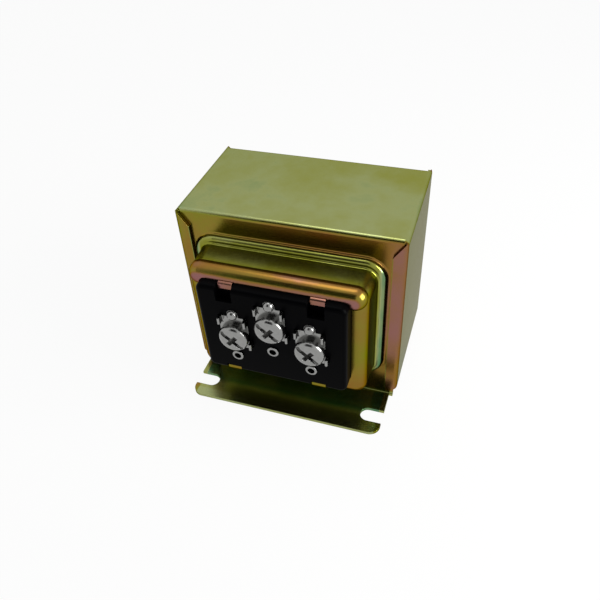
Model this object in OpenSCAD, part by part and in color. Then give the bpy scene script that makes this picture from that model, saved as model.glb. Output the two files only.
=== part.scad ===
// Foot-mounted low-voltage transformer in a folded sheet-metal case.
// Millimetres. +X to the right of the terminals, -Y towards the terminals, +Z up.
// The origin lies on the mounting surface, under the middle of the case.

/* [Core] */
// Lamination module: one window's width, half of the tongue, one yoke
lam = 9.525; // [8.5:0.025:11]
// Thickness of the lamination stack, front to rear
stack_d = 31.1; // [28:0.1:40]
// Fish-paper sheet between the stack and each end panel
paper_t = 0.3; // [0.2:0.05:0.5]
// Packing strip that wedges the core down inside the case
wedge_t = 1.8; // [1:0.1:2.5]
// Room between the core and each side wall
side_gap = 0.6; // [0.3:0.05:1]

/* [Case sheet] */
// Thickness of the case sheet
sheet = 0.9; // [0.8:0.05:1.2]
// Inside radius of every fold
bend_in = 0.2; // [0.15:0.05:0.6]
// Width of the narrow flange that each side wall folds over the end panels
flange_w = 3.5; // [3:0.1:4.5]
// Gap in the lap seam between a flange and the end panel
seam_gap = 0.1; // [0.05:0.05:0.2]
// Gap between an end panel's upper fold and the mitred end of each flange
corner_relief = 0.2; // [0.1:0.05:0.6]
// Fall of the mitre, from an end panel's side edge to the flange's free edge
mitre_drop = 3.5; // [2:0.1:4.5]
// Width of the lip that each side wall folds under the core
lip_w = 4; // [3:0.1:6]

/* [Feet] */
// Height of the side walls' lower edges above the feet
foot_drop = 3.1; // [2:0.1:5]
// Distance from an end panel to the free edge of its foot
foot_reach = 15.1; // [14:0.1:22]
// Amount that a foot is narrower than its end panel, on each side
foot_inset = 1; // [0.5:0.1:2]
// Radius of the feet's free corners
foot_corner = 3; // [2:0.1:4]
// Width of the fixing notches, a free fit for a 4 mm screw
notch_w = 4.4; // [4.2:0.1:5]
// Depth of a fixing notch, from the foot's side edge to its round end
notch_depth = 6.3; // [5:0.1:8]
// Distance from an end panel to the middle of its notches
notch_y = 9.1; // [8:0.1:10]

/* [Bells] */
// Height of the low step around each drawn bell
step_h = 1.9; // [1.7:0.05:2.2]
// Width of the low step outside the bell's wall
step_w = 1.8; // [1.6:0.05:2.2]
// Room between the coil's side and the bell
bell_side_gap = 4; // [3:0.1:4.4]
// Room between the coil's upper and lower ends and the bell
bell_end_gap = 2.8; // [2.2:0.1:4]
// Room between the coil's face and the front bell
bell_face_gap = 2.4; // [1.6:0.1:3.2]
// Height of the bells' middle above the middle of the coil
bell_lift = 0.4; // [0:0.1:1]
// Corner radius of a bell's wall
bell_corner = 3.6; // [3.4:0.1:6]
// Radius of the edge between a bell's wall and its face
bell_edge = 2; // [1.5:0.1:2.5]
// Draft of a bell's wall, in degrees
bell_draft = 2.5; // [1:0.5:4]
// Outer radius of the brow bead across the top of the front bell
brow_r = 3; // [2.6:0.1:3.4]
// Height of the front bell's face that the brow bead stands proud of
brow_proud = 1.7; // [1.2:0.1:2.2]
// Height that the brow bead stands above the bell's upper side
brow_lift = 0.3; // [0.1:0.1:1]

/* [Terminal block] */
// Width of the bell's face left on each side of the block
frame_side = 4.3; // [3.6:0.1:5]
// Height of the bell's face left under the block
frame_bottom = 5.1; // [4:0.1:7]
// Height of the brow above the block
frame_top = 2.2; // [2:0.1:3]
// Distance that the block stands out of the bell's face
block_out = 4.4; // [3.6:0.1:6]
// Clearance between the block and its opening
block_fit = 0.1; // [0.05:0.05:0.2]
// Corner radius of the block
block_corner = 1.8; // [1.6:0.1:3]
// Radius of the block's front edges
block_edge = 1.1; // [0.8:0.1:1.4]
// Wall thickness of the moulding
block_wall = 1.8; // [1.4:0.1:2.2]
// Width of the retaining tabs
tab_w = 3.7; // [3:0.1:5]
// Distance from the middle to each retaining tab
tab_x = 11.8; // [10:0.1:13]
// Thickness of the coined retaining tabs
tab_t = 0.7; // [0.5:0.05:0.9]
// Length of a tab's hook over the block's face
tab_hook = 1.6; // [1.4:0.1:2.2]
// Depth of the lower hooks below the block's face
tab_sink = 0.2; // [0.1:0.05:0.4]
// Depth of the upper hooks below the block's face
hook_sink = 1.6; // [1:0.1:2]
// Height of the tool pocket below each upper hook
tool_room = 2.6; // [2:0.1:3.5]

/* [Terminals] */
// Sideways distance between neighbouring terminals
term_pitch = 10.1; // [10:0.1:11.4]
// Height of the outer screws above the block's lower edge
term_z = 13.5; // [13:0.1:14.4]
// Height of the middle screw above the outer ones
term_rise = 5.2; // [4.5:0.1:5.4]
// Thickness of the terminal plates
plate_t = 0.8; // [0.6:0.05:1]
// Width of a terminal plate across its upper ears
plate_w = 7.6; // [7:0.1:8.2]
// Distance from a screw to its plate's upper edge
plate_high = 6.3; // [6:0.1:6.6]
// Distance from a screw to its plate's lower edge
plate_low = 3.9; // [3.5:0.1:4.2]
// Clearance between a plate and its recess in the block
plate_fit = 0.2; // [0.1:0.05:0.3]
// Height of the plate's turned-up ears
ear_h = 2.4; // [1.6:0.1:2.8]
// Length of an ear along the plate's edge
ear_l = 1.9; // [1.6:0.1:2]
// Diameter of a screw's head
head_d = 8; // [7.4:0.1:8.4]
// Height of a screw's head
head_h = 2.4; // [2:0.1:2.8]
// Diameter of a screw's shank
shank_d = 4; // [3.4:0.1:4.2]
// Clearance around a screw's shank
shank_fit = 0.1; // [0.05:0.05:0.2]
// Angle of the driver slots
slot_angle = -40; // [-90:5:90]
// Distance from an outer screw down to its eyelet
eyelet_drop = 7.2; // [6.6:0.1:8]
// Extra distance from the middle screw down to its eyelet
eyelet_extra = 1.2; // [0:0.1:1.5]
// Diameter of an eyelet's flange
eyelet_d = 3.1; // [2.9:0.1:3.6]
// Bore of an eyelet
eyelet_bore = 1.9; // [1.5:0.1:2.1]
// Distance from a screw up to its soldered lead
solder_rise = 7; // [6.9:0.1:7.6]
// Diameter of the secondary leads
lead_d = 1.6; // [1.2:0.1:1.8]

/* [Coil] */
// Clearance between the core's tongue and the bobbin
bobbin_fit = 0.25; // [0.1:0.05:0.4]
// Wall thickness of the bobbin
bobbin_wall = 1; // [0.7:0.1:1.3]
// Clearance between the bobbin's flanges and the core's window
window_fit = 0.35; // [0.2:0.05:0.6]
// Depth of the wrapped windings below the edge of the bobbin's flanges
flange_rim = 0.25; // [0.1:0.05:0.5]
// Thickness of the tape over each winding
wrap_t = 0.3; // [0.2:0.05:0.5]
// Share of the bobbin's height taken by the primary
primary_share = 0.52; // [0.4:0.01:0.6]

/* [Lead bushing] */
// Bore of the bushing for the supply leads
bushing_bore = 7; // [5:0.1:8]
// Wall thickness of the bushing
bushing_wall = 1.2; // [1:0.1:1.6]
// Height of the bushing's head outside the rear bell
rim_h = 3.2; // [2.6:0.1:4]
// Distance of the bushing below the middle of the rear bell
bushing_drop = 7; // [0:0.1:8]

/* [Hidden] */
$fn = 64;

// An overshoot for cuts that run clear through
cut = 1;

// Core, from the lamination module
core_w = 6 * lam;
core_h = 5 * lam;
tongue = 2 * lam;
window_h = 3 * lam;

// Case planes
bend_out = bend_in + sheet;
panel_y = stack_d / 2 + paper_t + sheet;
flange_y = panel_y + seam_gap + sheet;
wall_x = core_w / 2 + side_gap + sheet;
panel_x = wall_x - bend_out;
foot_x = panel_x - foot_inset;
lip_z = sheet + foot_drop;
core_z = lip_z + sheet;
top_z = core_z + core_h + wedge_t + sheet;
window_z = core_z + lam;

// Coil, from the inside out
tube_in_x = tongue / 2 + bobbin_fit;
tube_in_y = stack_d / 2 + bobbin_fit;
tube_x = tube_in_x + bobbin_wall;
tube_y = tube_in_y + bobbin_wall;
coil_x = 2 * lam - window_fit;
coil_build = coil_x - tube_x;
coil_y = tube_y + coil_build;
coil_h = window_h - 2 * bobbin_fit;
coil_z = window_z + bobbin_fit;
winding_build = coil_build - flange_rim - wrap_t;
winding_space = coil_h - 3 * bobbin_wall;
primary_h = primary_share * winding_space;
primary_z = coil_z + bobbin_wall;
secondary_h = winding_space - primary_h;
secondary_z = primary_z + primary_h + bobbin_wall;

// Bells, measured out from the end panels
bell_x = coil_x + bell_side_gap + sheet;
bell_y = window_h / 2 + bell_end_gap + sheet;
bell_z = window_z + window_h / 2 + bell_lift;
bell_h = coil_y - panel_y + bell_face_gap + sheet;
step_edge = sheet + 0.3;
step_root = step_h - step_edge;
bell_root = step_w - step_edge - 0.05;
brow_h = bell_h + brow_proud - brow_r;
brow_y = bell_y - brow_r + brow_lift;
brow_x = bell_x - brow_r - 0.6;

// Terminal block, in the front bell's own plane
block_x = bell_x - frame_side;
block_low = frame_bottom - bell_y;
block_high = bell_y - frame_top;
block_y = (block_high - block_low) / 2;
block_mid = (block_high + block_low) / 2;
block_h = bell_h + block_out;
block_back = bell_h - sheet;
rim_t = bell_face_gap / 2;
rim_side = 1.2;
recess_floor = block_h - plate_t;
face_back = recess_floor - block_wall;
boss_d = shank_d + 2 * block_wall;
boss_back = block_back - rim_t + 0.4;
tab_pocket_w = tab_w + 0.6;
tab_bend = 0.2;

// Terminals: each [sideways place, height, drop of its eyelet] in the front bell's own plane
term_low = block_low + term_z;
LEFT = [-term_pitch, term_low, eyelet_drop];
CENTRE = [0, term_low + term_rise, eyelet_drop + eyelet_extra];
RIGHT = [term_pitch, term_low, eyelet_drop];
TERMINALS = [LEFT, CENTRE, RIGHT];
tail_w = lead_d + 1.4;
ear_bend = 0.3;
ear_strip = ear_bend + plate_t;
ear_relief = 0.3;
wire_ear_y = -3;
wire_ear_x = sqrt(pow(head_d / 2, 2) - pow(wire_ear_y + ear_l, 2)) + shank_fit + plate_t;
eyelet_rim = 0.45;
eyelet_wall = 0.35;
eyelet_tube = eyelet_bore / 2 + eyelet_wall;
lead_gap = 0.05;
solder_h = 1.3;
solder_d = lead_d + 1.3;
head_edge = head_h * 0.6;
slot_w = 1.1;
slot_d = 0.7;
cross_w = 1.2;
cross_l = 3.8;
cross_d = 1.7;

// Bushing
bushing_body = bushing_bore / 2 + bushing_wall;
bushing_rim = bushing_body + 1.4;
bushing_catch = bushing_body + 0.5;
rim_round = 0.6;
catch_h = 1.5;

// The bushing stands out as far as the screws do, so that the part's depth stays centred
rear_bell_h = block_h + head_h - rim_h;

// ---- Flat shapes ----

// A rectangle about the origin with round corners
module round_rect(w, h, r) {
    square([w - 2 * r, h], center = true);
    square([w, h - 2 * r], center = true);
    for (x = [-1, 1], y = [-1, 1])
        translate([x * (w / 2 - r), y * (h / 2 - r)]) circle(r);
}

// A quarter of a ring, or of a disc where inner is 0, in the first quadrant
module quarter_ring(inner, outer) {
    intersection() {
        difference() {
            circle(outer);
            if (inner > 0) circle(inner);
        }
        square(outer);
    }
}

// Half of a boss's section: its wall leans in by the draft, its edge is round,
// and a hollow fillet runs out at its root. X is the radius and Y the height.
module boss_section(r, h, edge, root, draft) {
    lean = tan(draft);
    edge_x = r - (h - edge) * lean - edge / cos(draft);
    root_x = r - root * lean + root / cos(draft);
    translate([edge_x, h - edge]) quarter_ring(0, edge);
    polygon([
        [0, -cut], [r + cut * lean, -cut],
        [edge_x + edge * cos(draft), h - edge + edge * sin(draft)],
        [edge_x, h], [0, h]
    ]);
    if (root > 0) difference() {
        polygon([
            [r - root, -cut], [root_x, -cut], [root_x, 0],
            [root_x - root * cos(draft), root - root * sin(draft)], [r - root, root]
        ]);
        translate([root_x, root]) circle(root);
    }
}

// ---- Swept solids ----

// A section carried round a rectangle whose corners stand at (x, y)
module swept(x, y) {
    for (turn = [0, 180]) rotate(turn) {
        translate([x, 0, 0]) rotate([90, 0, 0]) linear_extrude(2 * y, center = true) children();
        translate([0, y, 0]) rotate([90, 0, 90]) linear_extrude(2 * x, center = true) children();
        translate([x, y, 0]) rotate_extrude(angle = 90) children();
        translate([-x, y, 0]) rotate(90) rotate_extrude(angle = 90) children();
    }
}

// A solid block bounded by a boss's section, rising from the plane z = base
module boss(half_x, half_y, r, h, edge, root, draft) {
    x = half_x - r;
    y = half_y - r;
    swept(x, y) boss_section(r, h, edge, root, draft);
    translate([-x, -y, -cut]) cube([2 * x, 2 * y, h + cut]);
}

// A rod with round ends along X
module capsule(half_l, r) {
    rotate([0, 90, 0]) rotate_extrude() intersection() {
        union() {
            square([2 * r, 2 * half_l], center = true);
            for (y = [-half_l, half_l]) translate([0, y]) circle(r);
        }
        translate([0, -half_l - r]) square([r, 2 * (half_l + r)]);
    }
}

// Puts a solid drawn in a bell's own plane onto the front or the rear end panel
module on_front() {
    translate([0, -panel_y, bell_z]) rotate([90, 0, 0]) children();
}

module on_rear() {
    rotate(180) on_front() children();
}

// ---- Case shell ----

// Everything that lies under a bell's surface; inset = sheet gives its hollow
module bell_body(h, inset) {
    translate([0, 0, -inset])
        boss(bell_x + step_w - inset, bell_y + step_w - inset, bell_corner + step_w - inset,
            step_h, step_edge - inset, step_root + inset, 0);
    translate([0, 0, step_h - inset])
        boss(bell_x - inset, bell_y - inset, bell_corner - inset,
            h - step_h, bell_edge - inset, bell_root + inset, bell_draft);
}

module brow(inset) {
    translate([0, brow_y, brow_h]) capsule(brow_x, brow_r - inset);
}

module front_bell_body(inset) {
    bell_body(bell_h, inset);
    brow(inset);
}

module block_opening() {
    translate([0, block_mid, block_back - brow_r])
        linear_extrude(brow_r + sheet + block_out)
            round_rect(2 * (block_x + block_fit), 2 * (block_y + block_fit), block_corner + block_fit);
}

// Half of the bent strip that makes the top and the rear end panel, in (Y, Z)
module half_fold() {
    translate([0, top_z - sheet]) square([panel_y - bend_out, sheet]);
    translate([panel_y - bend_out, top_z - bend_out]) quarter_ring(bend_in, bend_out);
    translate([panel_y - sheet, bend_out]) square([sheet, top_z - 2 * bend_out]);
    translate([panel_y + bend_in, bend_out]) rotate(180) quarter_ring(bend_in, bend_out);
}

// A foot in plan, its free edge towards +Y, with a notch in each side
module foot_plan() {
    foot_y = panel_y + foot_reach;
    difference() {
        union() {
            translate([-foot_x, panel_y + bend_in])
                square([2 * foot_x, foot_reach - bend_in - foot_corner]);
            translate([foot_corner - foot_x, panel_y + bend_in])
                square([2 * (foot_x - foot_corner), foot_reach - bend_in]);
            for (x = [-1, 1])
                translate([x * (foot_x - foot_corner), foot_y - foot_corner]) circle(foot_corner);
        }
        for (turn = [-1, 1])
            translate([turn * (foot_x - notch_depth + notch_w / 2), panel_y + notch_y]) {
                circle(notch_w / 2);
                translate([turn > 0 ? 0 : -notch_depth - cut, -notch_w / 2])
                    square([notch_depth + cut, notch_w]);
            }
    }
}

// Half of the strip that makes a side wall and its lip, in (X, Z)
module wall_fold() {
    translate([panel_x, top_z - bend_out]) quarter_ring(bend_in, bend_out);
    translate([wall_x - sheet, lip_z + bend_out]) square([sheet, top_z - lip_z - 2 * bend_out]);
    translate([panel_x, lip_z + bend_out]) rotate(-90) quarter_ring(bend_in, bend_out);
    translate([wall_x - lip_w, lip_z]) square([lip_w - bend_out, sheet]);
}

// A side wall's flange as seen from the end: mitred above, rounded below
module flange_face() {
    fold_z = top_z - bend_out;
    mitre_z = fold_z - corner_relief;
    free_x = wall_x - flange_w;
    slope = mitre_drop / (panel_x - free_x);
    intersection() {
        polygon([
            [free_x, lip_z], [wall_x, lip_z],
            [wall_x, mitre_z + slope * bend_out], [free_x, mitre_z - mitre_drop]
        ]);
        union() {
            translate([free_x, lip_z]) square([panel_x - free_x, top_z - lip_z]);
            translate([panel_x, lip_z + bend_out]) square([bend_out, fold_z - lip_z - bend_out]);
            for (z = [lip_z + bend_out, fold_z]) translate([panel_x, z]) circle(bend_out);
        }
    }
}

module side_wall() {
    bend_y = flange_y - bend_out;
    rotate([90, 0, 0]) linear_extrude(2 * bend_y, center = true) wall_fold();
    for (end = [0, 1]) mirror([0, end, 0]) intersection() {
        linear_extrude(top_z) {
            translate([panel_x, bend_y]) quarter_ring(bend_in, bend_out);
            translate([wall_x - flange_w, flange_y - sheet]) square([flange_w - bend_out, sheet]);
        }
        translate([0, flange_y + cut, 0]) rotate([90, 0, 0]) linear_extrude(flange_y) flange_face();
    }
}

// Places work at the four retaining tabs, +Y away from the block; the upper pair is end 0
module at_tabs(end) {
    for (x = [-tab_x, tab_x])
        translate([x, block_mid, 0]) mirror([0, end, 0]) translate([0, block_y, 0]) children();
}

// A tab lanced from the opening's edge: it runs out along the block and hooks over its face
module retaining_tab(sink) {
    tab_end = block_h - sink;
    fold_y = -tab_t / 2 - tab_bend;
    fold_h = tab_end - tab_t - tab_bend;
    rotate([90, 0, 90]) linear_extrude(tab_w, center = true) {
        translate([-tab_t / 2, block_back]) square([tab_t, fold_h - block_back]);
        translate([fold_y, fold_h]) quarter_ring(tab_bend, tab_bend + tab_t);
        translate([tab_t / 2 - tab_hook, tab_end - tab_t]) square([fold_y - tab_t / 2 + tab_hook, tab_t]);
    }
}

module case_shell() color("#a8a050") {
    difference() {
        union() {
            rotate([90, 0, 90]) linear_extrude(2 * panel_x, center = true) {
                half_fold();
                mirror([1, 0]) half_fold();
            }
            on_front() front_bell_body(0);
            on_rear() bell_body(rear_bell_h, 0);
        }
        on_front() front_bell_body(sheet);
        on_front() block_opening();
        on_rear() bell_body(rear_bell_h, sheet);
        on_rear() translate([0, -bushing_drop, rear_bell_h - bell_edge])
            cylinder(h = bell_edge + cut, r = bushing_body);
    }
    linear_extrude(sheet) for (turn = [0, 180]) rotate(turn) foot_plan();
    for (side = [0, 1]) mirror([side, 0, 0]) side_wall();
    on_front() {
        at_tabs(0) retaining_tab(hook_sink);
        at_tabs(1) retaining_tab(tab_sink);
    }
}

// ---- Core ----

// Stands a flat (X, Z) shape up as a stack centred on the origin's plane
module stacked(d) {
    rotate([90, 0, 0]) linear_extrude(d, center = true) children();
}

module e_laminations() color("#6d6f72") stacked(stack_d) {
    translate([-core_w / 2, core_z]) square([core_w, lam]);
    for (x = [-core_w / 2, core_w / 2 - lam])
        translate([x, core_z]) square([lam, lam + window_h]);
    translate([-lam, core_z]) square([tongue, lam + window_h]);
}

module i_laminations() color("#76787b")
    translate([-core_w / 2, -stack_d / 2, window_z + window_h]) cube([core_w, stack_d, lam]);

module core_wedge() color("#b08a50") {
    strip_w = core_w - 2 * lam;
    strip_d = stack_d - lam;
    translate([-strip_w / 2, -strip_d / 2, core_z + core_h]) cube([strip_w, strip_d, wedge_t]);
}

// Fish-paper sheet with a window for the coil, on the front (-1) or the rear (1)
module insulator(side) {
    translate([0, side * (stack_d + paper_t) / 2, 0]) stacked(paper_t) difference() {
        translate([-core_w / 2, core_z]) square([core_w, core_h]);
        translate([-2 * lam, window_z]) square([4 * lam, window_h]);
    }
}

module front_insulator() color("#8d8f86") insulator(-1);

module rear_insulator() color("#8d8f86") insulator(1);

// ---- Coil ----

module tube_hole() {
    square([2 * tube_in_x, 2 * tube_in_y], center = true);
}

module tube_outline() {
    round_rect(2 * tube_x, 2 * tube_y, bobbin_wall);
}

// The outline of a layer that stands this far out from the tube
module layer_outline(out) {
    round_rect(2 * (tube_x + out), 2 * (tube_y + out), bobbin_wall + out);
}

module bobbin() color("#d8d2c0") {
    difference() {
        translate([0, 0, coil_z]) union() {
            linear_extrude(coil_h) tube_outline();
            for (z = [0, primary_h + bobbin_wall, coil_h - bobbin_wall])
                translate([0, 0, z]) linear_extrude(bobbin_wall)
                    round_rect(2 * coil_x, 2 * coil_y, 2 * bobbin_wall);
        }
        translate([0, 0, coil_z - cut]) linear_extrude(coil_h + 2 * cut) tube_hole();
    }
}

module winding(z, h) {
    translate([0, 0, z]) linear_extrude(h) difference() {
        layer_outline(winding_build);
        tube_outline();
    }
}

module wrap(z, h) {
    translate([0, 0, z]) linear_extrude(h) difference() {
        layer_outline(winding_build + wrap_t);
        layer_outline(winding_build);
    }
}

module primary_winding() color("#a5562c") winding(primary_z, primary_h);

module secondary_winding() color("#b8662f") winding(secondary_z, secondary_h);

module primary_wrap() color("#d9c25a") wrap(primary_z, primary_h);

module secondary_wrap() color("#d9c25a") wrap(secondary_z, secondary_h);

// ---- Terminal block ----

// Puts flat work at one terminal, at a height out from the end panel
module at_terminal(place, h) {
    translate([place[0], place[1], h]) children();
}

// The flat part of a plate, with its tail up to the lead and its arm to the lower ear
module plate_flat() {
    arm_x = wire_ear_x - ear_strip;
    translate([-plate_w / 2, -plate_low])
        square([plate_w, plate_low + plate_high - ear_l - ear_relief]);
    translate([ear_strip - plate_w / 2, 0]) square([plate_w - 2 * ear_strip, plate_high]);
    translate([0, wire_ear_y]) square([arm_x, ear_l]);
    translate([-tail_w / 2, 0]) square([tail_w, solder_rise]);
    translate([0, solder_rise]) circle(tail_w / 2);
}

// The recess that takes a plate and its ears
module plate_recess() {
    translate([-plate_w / 2 - plate_fit, -plate_low - plate_fit])
        square([plate_w + 2 * plate_fit, plate_low + plate_high + 2 * plate_fit]);
    translate([0, wire_ear_y - plate_fit]) square([wire_ear_x + plate_fit, ear_l + 2 * plate_fit]);
    translate([-tail_w / 2 - plate_fit, 0]) square([tail_w + 2 * plate_fit, solder_rise]);
    translate([0, solder_rise]) circle(tail_w / 2 + plate_fit);
}

module block_body() {
    translate([0, block_mid, block_back - rim_t]) difference() {
        union() {
            translate([0, 0, block_edge])
                boss(block_x, block_y, block_corner, block_h - block_back + rim_t - block_edge,
                    block_edge, 0, 0);
            linear_extrude(rim_t)
                round_rect(2 * (block_x + rim_side), 2 * (block_y + rim_side), block_corner);
        }
        translate([0, 0, -2 * cut]) linear_extrude(face_back - block_back + rim_t + 2 * cut)
            round_rect(2 * (block_x - block_wall), 2 * (block_y - block_wall), block_corner - block_edge);
    }
}

module terminal_bosses() {
    for (place = TERMINALS) {
        at_terminal(place, boss_back) cylinder(h = face_back - boss_back + cut / 2, d = boss_d);
    }
}

module terminal_cuts() {
    for (place = TERMINALS) {
        at_terminal(place, recess_floor) linear_extrude(plate_t + cut) plate_recess();
        at_terminal(place, boss_back - cut)
            cylinder(h = block_h - boss_back + 2 * cut, d = shank_d + 2 * shank_fit);
        at_terminal([place[0], place[1] - place[2]], face_back - cut)
            cylinder(h = block_h - face_back + 2 * cut, r = eyelet_tube + shank_fit);
        at_terminal([place[0], place[1] + solder_rise], face_back - cut)
            cylinder(h = block_wall + 2 * cut, d = lead_d + 2 * shank_fit);
    }
}

// The groove that a retaining tab lies in, and the pocket that its hook is sunk in
module tab_cut(sink, room) {
    groove_w = tab_w + 2 * block_fit;
    pocket_d = sink + tab_t + block_fit;
    translate([-groove_w / 2, -tab_t / 2 - block_fit, block_back])
        cube([groove_w, 2 * tab_t, block_out + sheet + cut]);
    translate([-tab_pocket_w / 2, -tab_hook - room, block_h - pocket_d])
        cube([tab_pocket_w, tab_hook + room + cut, pocket_d + cut]);
}

// The moulding behind a deep pocket, so that the pocket has a floor
module tab_pad() {
    pad_w = tab_pocket_w + 2 * block_wall;
    pad_low = -tab_hook - tool_room - block_wall;
    pad_back = block_h - hook_sink - tab_t - block_fit - block_wall;
    translate([-pad_w / 2, pad_low, pad_back])
        cube([pad_w, -pad_low - block_wall / 2, face_back - pad_back + cut]);
}

module terminal_block() color("#1b1b1d") on_front() {
    difference() {
        union() {
            block_body();
            terminal_bosses();
            at_tabs(0) tab_pad();
        }
        terminal_cuts();
        at_tabs(0) tab_cut(hook_sink, tool_room);
        at_tabs(1) tab_cut(tab_sink, block_fit);
    }
}

// ---- Terminals ----

// An ear turned up with its outer face at X = reach, its lower end at Y = 0
module ear(reach) {
    translate([reach - ear_strip, ear_l, ear_strip]) rotate([90, 0, 0])
        linear_extrude(ear_l) {
            rotate(-90) quarter_ring(ear_bend, ear_strip);
            translate([ear_bend, 0]) square([plate_t, ear_h - ear_strip - plate_t / 2]);
            translate([ear_bend + plate_t / 2, ear_h - ear_strip - plate_t / 2]) circle(plate_t / 2);
        }
}

// Two ears stand at the upper corners and one at the lower right, which guard the wire
module terminal_plate(place) {
    on_front() at_terminal(place, recess_floor) {
        difference() {
            linear_extrude(plate_t) plate_flat();
            translate([0, 0, -cut]) {
                cylinder(h = plate_t + 2 * cut, d = shank_d + shank_fit);
                translate([0, solder_rise, 0]) cylinder(h = plate_t + 2 * cut, d = lead_d + shank_fit);
            }
        }
        for (side = [0, 1]) mirror([side, 0, 0]) translate([0, plate_high - ear_l, 0]) ear(plate_w / 2);
        translate([0, wire_ear_y, 0]) ear(wire_ear_x);
    }
}

module terminal_plate_left() color("#c9cacb") terminal_plate(LEFT);

module terminal_plate_centre() color("#c9cacb") terminal_plate(CENTRE);

module terminal_plate_right() color("#c9cacb") terminal_plate(RIGHT);

// Binding screw standing on the origin's plane, with a slot and a cross in its head
module terminal_screw() {
    difference() {
        union() {
            rotate_extrude() {
                square([head_d / 2, head_h - head_edge]);
                square([head_d / 2 - head_edge, head_h]);
                intersection() {
                    translate([head_d / 2 - head_edge, head_h - head_edge]) circle(head_edge);
                    square([head_d, head_h]);
                }
            }
            translate([0, 0, boss_back - block_h]) cylinder(h = block_h - boss_back + cut, d = shank_d);
        }
        rotate(slot_angle) {
            translate([-head_d, -slot_w / 2, head_h - slot_d]) cube([2 * head_d, slot_w, head_h]);
            for (turn = [0, 90]) rotate(turn)
                translate([-cross_l / 2, -cross_w / 2, head_h - cross_d]) cube([cross_l, cross_w, head_h]);
        }
    }
}

module terminal_screws() color("#d0d1d2") on_front()
    for (place = TERMINALS) at_terminal(place, block_h) terminal_screw();

// Tubular rivet: a rolled flange on the block's face and a clinched one behind it
module eyelet() {
    grip = block_h - face_back;
    rotate_extrude() translate([eyelet_bore / 2, 0]) {
        translate([0, -grip - eyelet_rim]) square([eyelet_wall, grip + 2 * eyelet_rim]);
        translate([0, -grip - eyelet_rim]) square([eyelet_d / 2 - eyelet_bore / 2, eyelet_rim]);
        square([eyelet_d / 2 - eyelet_bore / 2 - eyelet_rim / 2, eyelet_rim]);
        translate([eyelet_d / 2 - eyelet_bore / 2 - eyelet_rim / 2, eyelet_rim / 2]) circle(eyelet_rim / 2);
    }
}

module terminal_eyelets() color("#c4c5c6") on_front()
    for (place = TERMINALS) at_terminal([place[0], place[1] - place[2]], block_h) eyelet();

// A low dome of solder over the end of each lead
module solder_joints() color("#d6d7d8") on_front() {
    dome_r = (solder_h * solder_h + solder_d * solder_d / 4) / (2 * solder_h);
    for (place = TERMINALS) at_terminal([place[0], place[1] + solder_rise], block_h) intersection() {
        translate([0, 0, solder_h - dome_r]) sphere(dome_r);
        cylinder(h = solder_h, d = solder_d);
    }
}

// A lead runs from the face of the coil to its terminal plate
module lead(place) {
    coil_face = coil_y - panel_y + lead_gap;
    on_front() at_terminal([place[0], place[1] + solder_rise], coil_face)
        cylinder(h = block_h - coil_face, d = lead_d);
}

module lead_left() color("#2b2b2e") lead(LEFT);

module lead_centre() color("#2b2b2e") lead(CENTRE);

module lead_right() color("#2b2b2e") lead(RIGHT);

// ---- Supply side ----

// Snap-in bushing that the supply leads pass through, as its half section
module bushing_half() {
    head_w = bushing_rim - bushing_bore / 2;
    translate([bushing_bore / 2, -sheet - catch_h]) {
        square([bushing_wall, catch_h + sheet + rim_round]);
        square([bushing_catch - bushing_bore / 2, catch_h]);
    }
    translate([bushing_bore / 2, 0]) {
        square([head_w, rim_h - rim_round]);
        square([head_w - rim_round, rim_h]);
    }
    translate([bushing_rim - rim_round, rim_h - rim_round]) circle(rim_round);
}

module lead_bushing() color("#222224")
    on_rear() translate([0, -bushing_drop, rear_bell_h]) rotate_extrude() bushing_half();

case_shell();
e_laminations();
i_laminations();
core_wedge();
front_insulator();
rear_insulator();
bobbin();
primary_winding();
secondary_winding();
primary_wrap();
secondary_wrap();
terminal_block();
terminal_plate_left();
terminal_plate_centre();
terminal_plate_right();
terminal_screws();
terminal_eyelets();
solder_joints();
lead_left();
lead_centre();
lead_right();
lead_bushing();
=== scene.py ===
# %% [markdown]
# # A foot-mounted transformer in a folded case
# The solids of the case, its core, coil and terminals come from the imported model. This script gives
# them their finishes, and lights and frames the whole. Lengths are written in millimetres and
# turned to metres by one constant.

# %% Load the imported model
from math import radians

import bpy
from mathutils import Matrix, Vector


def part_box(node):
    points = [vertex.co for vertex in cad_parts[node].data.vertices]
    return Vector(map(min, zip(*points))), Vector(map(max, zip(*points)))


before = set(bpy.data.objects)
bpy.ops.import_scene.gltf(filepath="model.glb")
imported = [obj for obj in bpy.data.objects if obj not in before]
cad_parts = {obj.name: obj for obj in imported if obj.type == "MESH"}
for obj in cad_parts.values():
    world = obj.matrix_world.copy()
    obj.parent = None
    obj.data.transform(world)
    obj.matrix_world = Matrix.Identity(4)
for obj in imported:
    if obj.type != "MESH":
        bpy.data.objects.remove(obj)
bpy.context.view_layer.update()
MM = 0.001
# The case's sheet, and how far the bell's ring stays in from the outside of the walls.
SHEET = 0.9 * MM
RING_INSET = 3.7 * MM
case_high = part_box("case_shell")[1]
SIDE_X = case_high[0]
RING_X = SIDE_X - RING_INSET
PANEL_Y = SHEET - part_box("front_insulator")[0][1]
BLOCK_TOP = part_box("terminal_block")[1][2]
print("solids:", len(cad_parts), "pieces, case top at", round(case_high[2] / MM, 1), "mm")

# %% [markdown]
# ## Camera
# A close view from above the right-hand side, as one looks down at a part on a bench. The lens is
# slightly wide, so the case narrows towards its feet. A small roll tips the frame as a hand-held
# camera does. The camera comes first, because every finish is judged through it.

# %% Camera
VIEW_AZIMUTH = 20.38
VIEW_ELEVATION = 41.71
VIEW_ROLL = -3.66
VIEW_DISTANCE = 164.5
VIEW_LENS = 36.9
VIEW_SENSOR = 36
NEAR_CLIP = 0.01
view_target = Vector((2.35, -16.75, 31.1)) * MM


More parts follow.
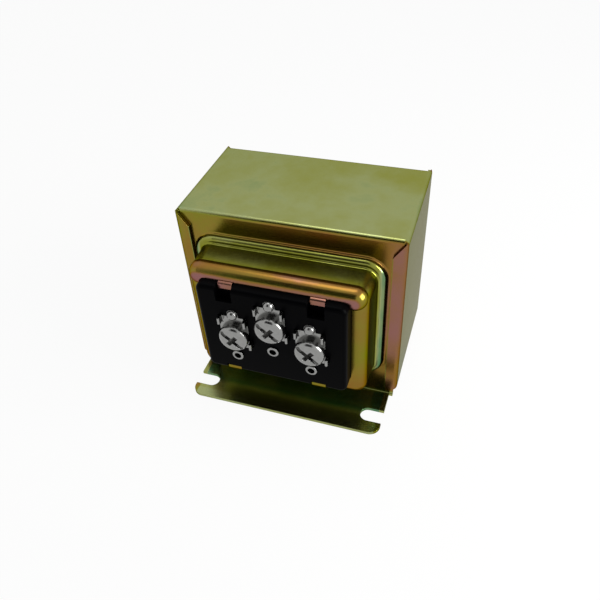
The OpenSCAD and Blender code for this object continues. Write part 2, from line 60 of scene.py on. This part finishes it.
def aim(azimuth, elevation):
    """The turn that points away from the case at an azimuth from the front and an elevation."""
    return (Matrix.Rotation(radians(azimuth), 4, "Z")
            @ Matrix.Rotation(radians(90 - elevation), 4, "X"))


camera_data = bpy.data.cameras.new("bench_camera")
camera_data.lens = VIEW_LENS
camera_data.sensor_width = VIEW_SENSOR
camera_data.clip_start = NEAR_CLIP
camera = bpy.data.objects.new("bench_camera", camera_data)
bpy.context.collection.objects.link(camera)
turn = aim(VIEW_AZIMUTH, VIEW_ELEVATION)
away = turn.to_3x3() @ Vector((0, 0, 1))
place = Matrix.Translation(view_target + away * VIEW_DISTANCE * MM)
camera.matrix_world = place @ turn @ Matrix.Rotation(radians(VIEW_ROLL), 4, "Z")
bpy.context.scene.camera = camera
bpy.context.scene.view_settings.view_transform = "Standard"
print("camera", VIEW_DISTANCE, "mm from the case")

# %% [markdown]
# ## Floor and light
# A plain pale floor that reaches far behind the case, one broad soft lamp above it, a second one low
# on the right for the bright streaks on the rolled edges, and an even sky. Plated steel is a blurred
# mirror, so what stands around it matters more than the lamps do: a dark card in front gives the
# bell's top and the panel above it their deep tones.


# %% Helpers for colours and nodes
def rgb(hex_colour, alpha=1.0):
    """Linear colour from an sRGB hex value."""
    parts = [int(hex_colour[i:i + 2], 16) / 255 for i in (1, 3, 5)]
    linear = [p / 12.92 if p <= 0.04045 else ((p + 0.055) / 1.055) ** 2.4 for p in parts]
    return (*linear, alpha)


def add(tree, kind, settings=None, **inputs):
    """Add a node, set its properties, and fill or link its inputs by name or by number."""
    node = tree.nodes.new(kind)
    for name, value in (settings or {}).items():
        setattr(node, name, value)
    for name, value in inputs.items():
        socket = node.inputs[int(name[1:]) if name[1:].isdigit() else name.replace("_", " ")]
        if isinstance(value, bpy.types.NodeSocket):
            tree.links.new(value, socket)
        else:
            socket.default_value = value
    return node


def math(tree, operation, first, second):
    """One step of arithmetic on two values or sockets."""
    return add(tree, "ShaderNodeMath", {"operation": operation}, _0=first, _1=second).outputs[0]


def new_material(name):
    """An empty material with a Principled shader on its output."""
    material = bpy.data.materials.new(name)
    material.use_nodes = True
    tree = material.node_tree
    tree.nodes.clear()
    shader = add(tree, "ShaderNodeBsdfPrincipled")
    output = add(tree, "ShaderNodeOutputMaterial")
    tree.links.new(shader.outputs["BSDF"], output.inputs["Surface"])
    return material, tree, shader


print("helpers ready")

# %% Floor, sky and lamps
FLOOR_WHITE = "#ffffff"
FLOOR_PALE = "#e9e9e6"
FLOOR_ROUGH = 0.9
FLOOR_SIZE = 6
FLOOR_GLOW = 0.92
SKY_DIFFUSE = "#b4b6b8"
AIM_HEIGHT = 28 * MM


def seen_or_mirrored(tree):
    """1 for rays that show the background: from the camera, or off or through the object."""
    path = add(tree, "ShaderNodeLightPath").outputs
    sharp = math(tree, "MAXIMUM", path["Is Camera Ray"], path["Is Glossy Ray"])
    return math(tree, "MAXIMUM", sharp, path["Is Transmission Ray"])


def stand_off(azimuth, elevation, distance):
    """The place and turn of something that faces the middle of the case from a distance."""
    return (Matrix.Translation(Vector((0, 0, AIM_HEIGHT))) @ aim(azimuth, elevation)
            @ Matrix.Translation(Vector((0, 0, distance * MM))))


world = bpy.data.worlds.new("studio")
bpy.context.scene.world = world
world.use_nodes = True
sky = world.node_tree
sky.nodes["Background"].inputs["Strength"].default_value = 1.0
sky_mix = add(sky, "ShaderNodeMix", {"data_type": "RGBA"}, _0=seen_or_mirrored(sky),
              _6=rgb(SKY_DIFFUSE), _7=rgb(FLOOR_WHITE))
sky.links.new(sky_mix.outputs[2], sky.nodes["Background"].inputs["Color"])

bpy.ops.object.select_all(action="DESELECT")
bpy.ops.mesh.primitive_plane_add(size=FLOOR_SIZE, location=(0, 0, 0))
floor = bpy.context.object
floor.name = "floor"
# Matte pale paper: nearly white to the eye, and still darker where the case shades it.
floor_material, tree, shader = new_material("pale_floor")
shader.inputs["Base Color"].default_value = rgb(FLOOR_PALE)
shader.inputs["Roughness"].default_value = FLOOR_ROUGH
glow = add(tree, "ShaderNodeEmission", Color=rgb(FLOOR_WHITE), Strength=1.0)
share = math(tree, "MULTIPLY", seen_or_mirrored(tree), FLOOR_GLOW)
lit = add(tree, "ShaderNodeMixShader", _0=share, _1=shader.outputs[0], _2=glow.outputs[0])
tree.links.new(lit.outputs[0], tree.nodes["Material Output"].inputs["Surface"])
floor.data.materials.append(floor_material)


def add_lamp(name, azimuth, elevation, distance, size, power):
    """A square soft white lamp aimed at the middle of the case. Lengths in millimetres."""
    data = bpy.data.lights.new(name, "AREA")
    data.shape = "SQUARE"
    data.size = size * MM
    data.energy = power
    lamp = bpy.data.objects.new(name, data)
    bpy.context.collection.objects.link(lamp)
    lamp.matrix_world = stand_off(azimuth, elevation, distance)


def add_flag(name, azimuth, elevation, distance, size, colour):
    """A dark card that only the mirrored view meets, as one hung in front of a shiny part."""
    bpy.ops.mesh.primitive_plane_add(size=size * MM)
    card = bpy.context.object
    card.name = name
    card.matrix_world = stand_off(azimuth, elevation, distance)
    # Dull black cloth: a soft dark patch in the metal.
    cloth, tree, shader = new_material("black_cloth")
    shader.inputs["Base Color"].default_value = rgb(colour)
    shader.inputs["Roughness"].default_value = 1.0
    card.data.materials.append(cloth)
    card.visible_camera = False
    card.visible_diffuse = False
    card.visible_shadow = False


add_lamp("overhead", azimuth=200, elevation=76, distance=500, size=220, power=0.4)
add_lamp("right_side", azimuth=85, elevation=25, distance=300, size=180, power=1.0)
add_flag("front_flag", azimuth=-8, elevation=46, distance=260, size=190, colour="#303030")
print("sky, floor, two lamps and a card")

# %% [markdown]
# ## Yellow zinc chromate
# The case is zinc-plated steel dipped in a chromate bath. The film is under a micron thick, so it
# takes its colour from its own thickness, as oil on water does: pink and gold where it is thin, then
# olive, sage and a blue green. It is thinner on the end panels, the brow and the hooks, where the
# sheet was stretched or bent, and thicker on the flat top, on the flanks of the ring and on the feet,
# where the bath drained last. It also thins a little from the left end to the right, as the case
# hung aslant. A slow noise adds the drifting patches, and a finer one clouds them. Under the film is
# smooth rolled sheet, so the finish is a blurred mirror, and the dark bands on it are the bells, the
# panels and the feet mirrored in each other.

# %% How the film changes over the case
SCALE = 1 / MM
# Colours from the thinnest film to the thickest.
FILM_COLOURS = [
    (0.20, "#8a5f5c"), (0.32, "#86622e"), (0.40, "#83722f"), (0.46, "#797a27"), (0.53, "#8c8f4b"),
    (0.64, "#969d6c"), (0.80, "#4c7a5a"),
]
# Drifting patches and clouds, in millimetres, and the part of the film's range that they cover.
DRIFT_MM = 22
CLOUD_MM = 4
CLOUD_SHARE = 0.3
NOISE_SPAN = (0.3, 0.7)
FILM_SPAN = (0.54, 0.66)
# Spans in millimetres out from the face of the end panels.
BEND_SPAN = (-0.6, 0.2)
RISE_SPAN = (0.1, 1.0)
FLANGE_SPAN = (1.0, 2.0)
FLANK_SPAN = (3.0, 7.0)
BROW_SPAN = (6.0, 9.0)
FACE_SPAN = (7.5, 10.5)
HOOK_SPAN = (12.2, 12.8)
# Widths in millimetres: the ring's root, its flanks from outside it, and the outer wall's skin.
ROOT_WIDTH = 0.5
FLANK_INSETS = (3.0, 1.5)
WALL_SKIN = 1.2
# Heights in millimetres above the feet, over which a change sets in or fades.
FOOT_HEIGHTS = (1.0, 2.2)
FACE_HEIGHTS = (10.0, 28.0)
HOOK_HEIGHTS = (20.0, 40.0)
BROW_RISE = 1.5
# Changes of the film, as shares of its range. Pairs run with their span.
HUNG_CHANGE = (0.1, -0.01)
HUNG_ON_TOP = 0.4
PANEL_CHANGE = -0.32
RING_CHANGE = 0.2
FLANK_CHANGE = 0.28
FACE_CHANGE = -0.06
FACE_GROWTH = (3.2, 1.0)
BROW_CHANGE = -0.14
HOOK_CHANGE = (0.06, -0.2)
FOOT_CHANGE = 0.3
WALL_CHANGE = 0.03


def eased(tree, value, low, high, at_low, at_high):
    """Carry a value from one range to another with soft ends."""
    return add(tree, "ShaderNodeMapRange", {"interpolation_type": "SMOOTHSTEP"}, Value=value,
               _1=low, _2=high, _3=at_low, _4=at_high).outputs[0]


def outward(tree, depth, span, at_low, at_high):
    """Ease over a span of millimetres out from the end panel's face."""
    return eased(tree, depth, PANEL_Y + span[0] * MM, PANEL_Y + span[1] * MM, at_low, at_high)


def upward(tree, height, heights, at_low, at_high):
    """Ease over a range of heights in millimetres."""
    return eased(tree, height, heights[0] * MM, heights[1] * MM, at_low, at_high)


def noise(tree, place, grain_mm, **settings):
    """Noise whose patches have a size in millimetres."""
    return add(tree, "ShaderNodeTexNoise", Vector=place, Scale=SCALE / grain_mm,
               **settings).outputs["Fac"]


def film_thickness(tree, place):
    """0 for the thinnest film to 1 for the thickest."""
    axes = add(tree, "ShaderNodeSeparateXYZ", Vector=place).outputs
    height = axes["Z"]
    across = math(tree, "ABSOLUTE", axes["X"], 0.0)
    depth = math(tree, "ABSOLUTE", axes["Y"], 0.0)
    forward = math(tree, "MULTIPLY", axes["Y"], -1.0)

    def times(first, second):
        return math(tree, "MULTIPLY", first, second)

    inside = eased(tree, across, RING_X, RING_X + ROOT_WIDTH * MM, 1.0, 0.0)
    raised = times(inside, outward(tree, depth, RISE_SPAN, 0.0, 1.0))
    flank = times(eased(tree, across, RING_X - FLANK_INSETS[0] * MM, RING_X - FLANK_INSETS[1] * MM,
                        0.0, FLANK_CHANGE),
                  outward(tree, depth, FLANK_SPAN, 1.0, 0.0))
    outer = times(outward(tree, depth, BEND_SPAN, HUNG_ON_TOP, 1.0),
                  outward(tree, depth, FLANGE_SPAN, 1.0, 0.0))
    patches = add(tree, "ShaderNodeMix", {"data_type": "FLOAT"}, _0=CLOUD_SHARE,
                  _2=noise(tree, place, DRIFT_MM, Detail=2.0, Roughness=0.5, Distortion=0.4),
                  _3=noise(tree, place, CLOUD_MM, Detail=5.0, Roughness=0.65)).outputs[0]
    total = eased(tree, patches, *NOISE_SPAN, *FILM_SPAN)
    changes = (
        times(eased(tree, axes["X"], -SIDE_X, SIDE_X, *HUNG_CHANGE), outer),
        outward(tree, depth, BEND_SPAN, 0.0, PANEL_CHANGE),
        times(raised, RING_CHANGE),
        times(outward(tree, depth, FACE_SPAN, 0.0, FACE_CHANGE),
              upward(tree, height, FACE_HEIGHTS, *FACE_GROWTH)),
        times(outward(tree, forward, HOOK_SPAN, 0.0, 1.0),
              upward(tree, height, HOOK_HEIGHTS, *HOOK_CHANGE)),
        upward(tree, height, FOOT_HEIGHTS, FOOT_CHANGE, 0.0),
        eased(tree, across, SIDE_X - WALL_SKIN * MM, SIDE_X, 0.0, WALL_CHANGE),
        times(eased(tree, height, BLOCK_TOP, BLOCK_TOP + BROW_RISE * MM, 0.0, BROW_CHANGE),
              outward(tree, forward, BROW_SPAN, 0.0, 1.0)),
        times(flank, raised),
    )
    for change in changes:
        total = math(tree, "ADD", total, change)
    return total


print("film colours:", len(FILM_COLOURS))

# %% Zinc chromate material
EDGE_MM = 0.12
EDGE_TINT = "#9a967a"
FILM_GRAIN_MM = 0.6
FILM_DEPTH_MM = 0.004
FILM_STRENGTH = 0.2
FILM_ROUGHNESS = (0.19, 0.27)


def surface(tree, place, grain_mm, depth_mm, strength):
    """Fine grain and slightly worn sharp edges: returns the grain and the normal."""
    grain = noise(tree, place, grain_mm, Detail=3.0)
    worn = add(tree, "ShaderNodeBevel", {"samples": 4}, Radius=EDGE_MM * MM)
    bump = add(tree, "ShaderNodeBump", Strength=strength, Distance=depth_mm * MM,
               Height=grain, Normal=worn.outputs[0])
    return grain, bump.outputs[0]


def colour_ramp(tree, value, stops):
    """Colours along a value, given as positions and sRGB hex values."""
    ramp = add(tree, "ShaderNodeValToRGB", Fac=value)
    elements = ramp.color_ramp.elements
    while len(elements) < len(stops):
        elements.new(0.5)
    for element, (position, colour) in zip(elements, stops):
        element.position = position
        element.color = rgb(colour)
    return ramp.outputs["Color"]


def finish_metal(tree, shader, colour, grain, normal, roughness):
    """Wire a grained metal: its colour, its normal and a roughness that follows the grain."""
    rough = add(tree, "ShaderNodeMapRange", Value=grain, _3=roughness[0], _4=roughness[1])
    tree.links.new(colour, shader.inputs["Base Color"])
    tree.links.new(rough.outputs[0], shader.inputs["Roughness"])
    tree.links.new(normal, shader.inputs["Normal"])
    shader.inputs["Metallic"].default_value = 1.0


def chromate():
    """Yellow chromate on zinc: an iridescent, slightly blurred mirror of olive, gold and pink."""
    material, tree, shader = new_material("zinc_chromate")
    place = add(tree, "ShaderNodeTexCoord").outputs["Object"]
    colour = colour_ramp(tree, film_thickness(tree, place), FILM_COLOURS)
    grain, normal = surface(tree, place, FILM_GRAIN_MM, FILM_DEPTH_MM, FILM_STRENGTH)
    finish_metal(tree, shader, colour, grain, normal, FILM_ROUGHNESS)
    # At a grazing angle the film still tints the steel, so the long walls stay grey olive.
    shader.inputs["Specular Tint"].default_value = rgb(EDGE_TINT)
    return material


case_finish = chromate()
print("zinc chromate for the case")

# %% [markdown]
# ## The other finishes
# Small parts read by their contrast with the case: a dead black block, bright tinned brass and
# screws on it, and inside, paper, nylon, tape and the seams of the core's sheets.

# %% Other finishes
PLAIN_STRENGTH = 0.3
PLAIN_SHADES = (0.8, 1.0)
LAMINATION_MM = 0.5
SEAM_SHARE = 0.2
SEAM_DARK = "#2a2a2c"
STEEL_GREY = "#7d7f83"
STEEL_GRAIN_MM = 0.3
STEEL_DEPTH_MM = 0.01
STEEL_ROUGHNESS = (0.35, 0.5)


def plain(name, colour, roughness, metallic=0.0, grain_mm=0.3, depth_mm=0.02, sheen=0.5):
    """A uniform finish with fine grain in its colour and surface."""
    material, tree, shader = new_material(name)
    place = add(tree, "ShaderNodeTexCoord").outputs["Object"]
    grain, normal = surface(tree, place, grain_mm, depth_mm, PLAIN_STRENGTH)
    shade = add(tree, "ShaderNodeMapRange", Value=grain,
                _3=PLAIN_SHADES[0], _4=PLAIN_SHADES[1])
    tint = add(tree, "ShaderNodeMix", {"data_type": "RGBA", "blend_type": "MULTIPLY"},
               _0=1.0, _6=rgb(colour), _7=shade.outputs[0])
    tree.links.new(tint.outputs[2], shader.inputs["Base Color"])
    tree.links.new(normal, shader.inputs["Normal"])
    shader.inputs["Metallic"].default_value = metallic
    shader.inputs["Roughness"].default_value = roughness
    shader.inputs["Specular IOR Level"].default_value = sheen
    return material


def laminated(name):
    """Punched steel sheets seen edge-on, with a dark seam where each meets the next."""
    material, tree, shader = new_material(name)
    place = add(tree, "ShaderNodeTexCoord").outputs["Object"]
    along = add(tree, "ShaderNodeSeparateXYZ", Vector=place).outputs["Y"]
    phase = math(tree, "FRACT", math(tree, "MULTIPLY", along, SCALE / LAMINATION_MM), 0.0)
    body = math(tree, "MULTIPLY", eased(tree, phase, 0.0, SEAM_SHARE, 0.0, 1.0),
                eased(tree, phase, 1 - SEAM_SHARE, 1.0, 1.0, 0.0))
    grain, normal = surface(tree, place, STEEL_GRAIN_MM, STEEL_DEPTH_MM, PLAIN_STRENGTH)
    steel = add(tree, "ShaderNodeMix", {"data_type": "RGBA"}, _0=body,
                _6=rgb(SEAM_DARK), _7=rgb(STEEL_GREY))
    finish_metal(tree, shader, steel.outputs[2], grain, normal, STEEL_ROUGHNESS)
    return material


FINISHES = {
    "case_shell": case_finish,
    # Phenolic moulding: a flat, deep black that lets the terminals stand out.
    "terminal_block": plain("black_phenolic", "#020203", 0.4, sheen=0.02),
    # Nylon bushing: a softer black with a broad sheen.
    "lead_bushing": plain("black_nylon", "#18181a", 0.38),
    # Unfilled nylon: warm off-white, a little waxy.
    "bobbin": plain("natural_nylon", "#d9d3c2", 0.5),
    # Pressed paper board: dry, matt brown.
    "core_wedge": plain("pressboard", "#b08a55", 0.9),
    # Fish paper: dry grey sheet, with no shine at all.
    "front_insulator": plain("fish_paper", "#8c8e84", 0.85),
    "rear_insulator": plain("fish_paper_rear", "#8c8e84", 0.85),
    # Silicon steel: grey edges with fine dark seams between the sheets.
    "e_laminations": laminated("silicon_steel"),
    "i_laminations": laminated("silicon_steel_i"),
    # Enamelled wire: a deep copper glint at the ends of the tape.
    "primary_winding": plain("enamelled_copper", "#b0602e", 0.35, metallic=1.0),
    "secondary_winding": plain("enamelled_copper_fine", "#b0602e", 0.35, metallic=1.0),
    # Polyester tape: smooth yellow film.
    "primary_wrap": plain("polyester_tape", "#d6bf55", 0.3),
    "secondary_wrap": plain("polyester_tape_upper", "#d6bf55", 0.3),
    # Sleeved leads: dull dark grey.
    "lead_left": plain("lead_sleeve_left", "#242427", 0.5),
    "lead_centre": plain("lead_sleeve_centre", "#242427", 0.5),
    "lead_right": plain("lead_sleeve_right", "#242427", 0.5),
}
# Bright tin on the plates, screws, rivets and solder: pale grey with sharp, uneven glints.
tin = plain("bright_tin", "#959593", 0.2, metallic=1.0, grain_mm=0.9, depth_mm=0.06)
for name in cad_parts:
    FINISHES.setdefault(name, tin)
for name, material in FINISHES.items():
    for slot in bpy.data.objects[name].material_slots:
        slot.material = material
print("finishes:", len(FINISHES))

# %% [markdown]
# ## Finished pieces
# The number of pieces that were given a finish is printed.

# %% Count of finished pieces
print("pieces handed over:", len(FINISHES))
